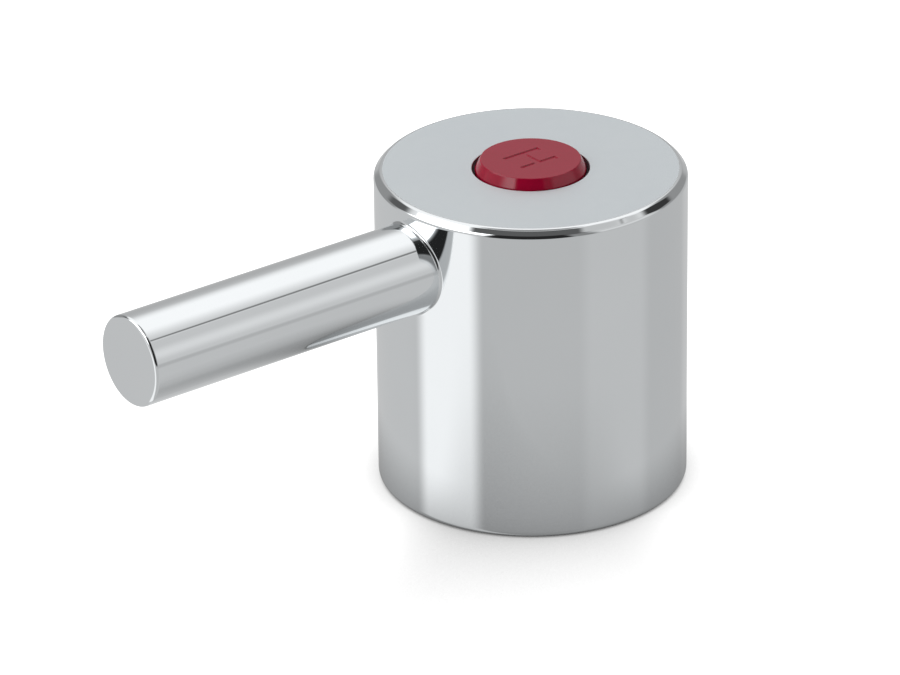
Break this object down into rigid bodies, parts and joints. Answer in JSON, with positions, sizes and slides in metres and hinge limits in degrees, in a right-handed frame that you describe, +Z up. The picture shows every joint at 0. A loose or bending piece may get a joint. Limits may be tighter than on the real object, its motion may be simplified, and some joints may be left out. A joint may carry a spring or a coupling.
{
  "type": "tap knob",
  "caption": "Chromed tap handle: round hollow body with a bevelled flat top, one straight bar lever, a splined spindle socket inside and a red cap over the fixing screw.",
  "frame": {"origin": "on the spindle axis, level with the foot of the skirt, at the mouth of the skirt's bore", "axes": "+Z up along the spindle axis, towards the red cap; -X along the bar lever, the longest extent"},
  "size_m": [0.0909, 0.044, 0.0483],
  "materials": {
    "chrome_plate": "mirror-polished chrome plate on a zinc casting",
    "insert_plastic": "natural moulded plastic",
    "screw_steel": "zinc-plated steel",
    "washer_steel": "plain spring steel",
    "ring_rubber": "black rubber",
    "cap_red": "glossy moulded plastic"
  },
  "bodies": {
    "root": {"handle_body": "chrome_plate", "spline_insert": "insert_plastic", "retaining_screw": "screw_steel", "spring_washer": "washer_steel", "cap_ring": "ring_rubber", "indicator_cap": "cap_red"}
  },
  "joints": []
}
